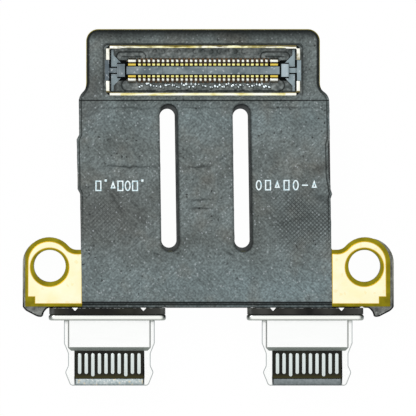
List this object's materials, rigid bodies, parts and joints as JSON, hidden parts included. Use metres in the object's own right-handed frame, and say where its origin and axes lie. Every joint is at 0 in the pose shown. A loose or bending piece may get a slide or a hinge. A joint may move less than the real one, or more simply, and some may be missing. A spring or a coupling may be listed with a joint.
{
  "type": "laptop twin reversible charging-port flex board",
  "caption": "Twin reversible charging-port board for a laptop: open-tongue ports, screw ears, slotted shielded flex tail and a fine-pitch board connector.",
  "frame": {"origin": "midway between the two screw holes, on the bracket's underside", "axes": "+X along the two ports, +Y from the ports towards the board connector, +Z out of the board's face"},
  "size_m": [0.0282, 0.027, 0.0036],
  "materials": {
    "flex_core": "olive solder mask over polyimide, satin",
    "rigid_board": "glass-epoxy board, matt edge",
    "shield_film": "black conductive shield film, fine matt grain",
    "stiffener_steel": "stamped stainless steel",
    "gold_plating": "gold plating, bright",
    "contact_plating": "pale bright plating",
    "connector_plastic": "moulded liquid-crystal polymer, matt",
    "connector_shield": "tinned steel, bright",
    "black_bracket": "black coated die casting, satin",
    "port_plastic": "moulded liquid-crystal polymer, black",
    "port_steel": "nickel-plated steel, satin"
  },
  "bodies": {
    "root": {"base_bracket": "black_bracket", "board_connector_front_fence": "connector_shield", "board_connector_housing": "connector_plastic", "board_connector_power_contacts": "gold_plating", "board_connector_rear_fence": "connector_shield", "board_connector_signal_contacts": "gold_plating", "flex_circuit": "flex_core", "head_shield_film": "shield_film", "head_stiffener": "stiffener_steel", "left_ground_pad": "gold_plating", "left_port_bottom_contacts": "contact_plating", "left_port_flange": "port_steel", "left_port_housing": "port_plastic", "left_port_lower_collar": "port_steel", "left_port_midplate": "port_steel", "left_port_rear_shell": "port_steel", "left_port_top_contacts": "contact_plating", "left_port_upper_collar": "port_steel", "main_shield_film": "shield_film", "port_board": "rigid_board", "right_ground_pad": "gold_plating", "right_port_bottom_contacts": "contact_plating", "right_port_flange": "port_steel", "right_port_housing": "port_plastic", "right_port_lower_collar": "port_steel", "right_port_midplate": "port_steel", "right_port_rear_shell": "port_steel", "right_port_top_contacts": "contact_plating", "right_port_upper_collar": "port_steel", "underside_shield_film": "shield_film"}
  },
  "joints": []
}
